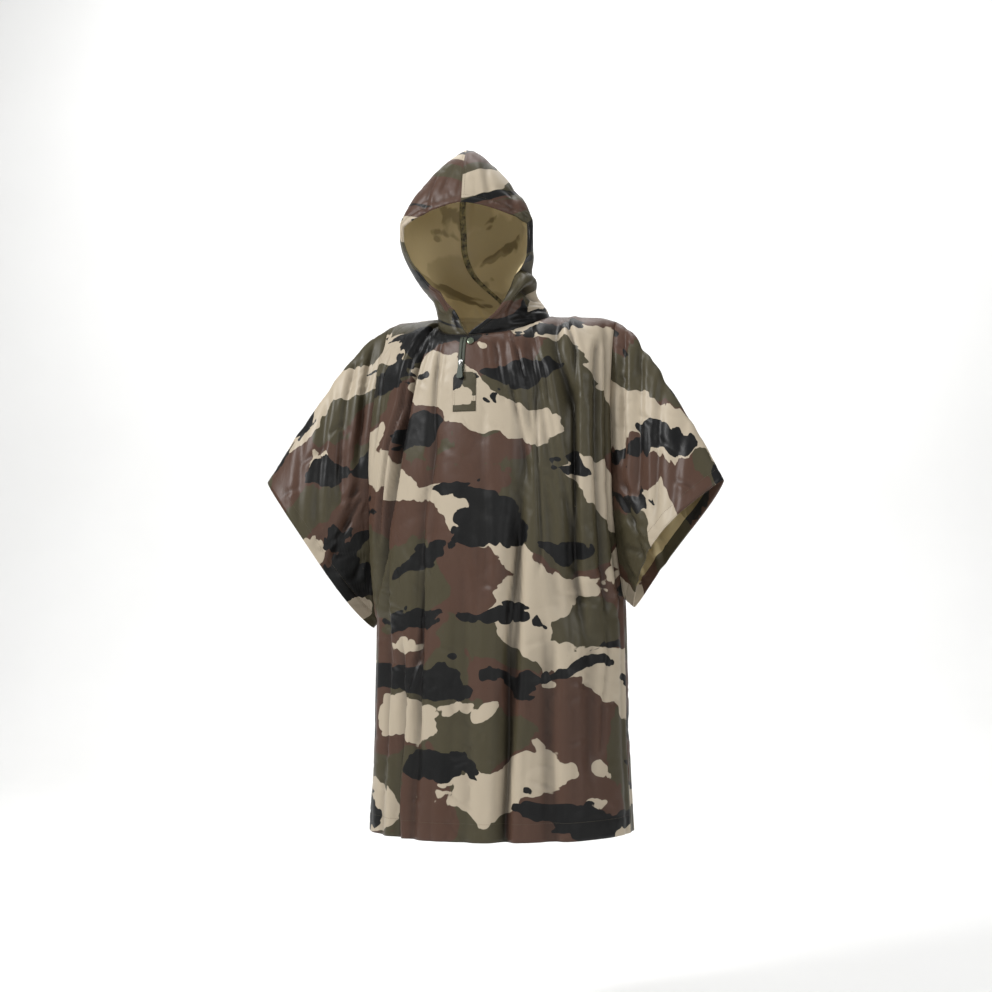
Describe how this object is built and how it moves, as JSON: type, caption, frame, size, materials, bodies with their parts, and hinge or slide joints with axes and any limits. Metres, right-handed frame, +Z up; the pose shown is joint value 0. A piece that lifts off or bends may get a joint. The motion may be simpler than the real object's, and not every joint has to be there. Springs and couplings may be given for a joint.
{
  "type": "rain poncho",
  "caption": "Hooded rain poncho with short wide sleeves and a throat zip, hollow and filled out as worn, held up at the shoulders.",
  "frame": {"origin": "middle of the shoulder line, inside the neck, where the wearer carries the garment", "axes": "+Z up from hem to crown, -Y the way the garment faces, +X towards the wearer's left"},
  "size_m": [0.9338, 0.3597, 1.3403],
  "materials": {
    "camo_cloth": "coated woven cloth, woodland camouflage in beige, olive, brown and blue-black, satin sheen",
    "tape_cloth": "woven tape, dark olive, matt",
    "patch_cloth": "coated woven cloth, camouflage, sewn on",
    "slider_metal": "nickel-plated casting",
    "pull_plastic": "moulded soft plastic, dark green",
    "stud_plastic": "lacquered press stud cap, greenish black"
  },
  "bodies": {
    "poncho": {"front_panel": "camo_cloth", "back_panel": "camo_cloth", "sleeve_left": "camo_cloth", "sleeve_right": "camo_cloth", "hood_left": "camo_cloth", "hood_right": "camo_cloth", "hood_seam_tape": "tape_cloth", "zip_tape_left": "tape_cloth", "zip_tape_right": "tape_cloth", "throat_patch": "patch_cloth", "throat_stud": "stud_plastic", "zip_slider": "slider_metal"},
    "pull_tab": {"zip_pull": "pull_plastic"}
  },
  "joints": [
    {"name": "pull_swing", "type": "hinge", "parent": "poncho", "child": "pull_tab", "pos_m": [-0.02007, -0.15939, -0.10473], "axis": [-0.9999, 0.0117, -0.0024], "range_deg": [0, 150]}
  ]
}
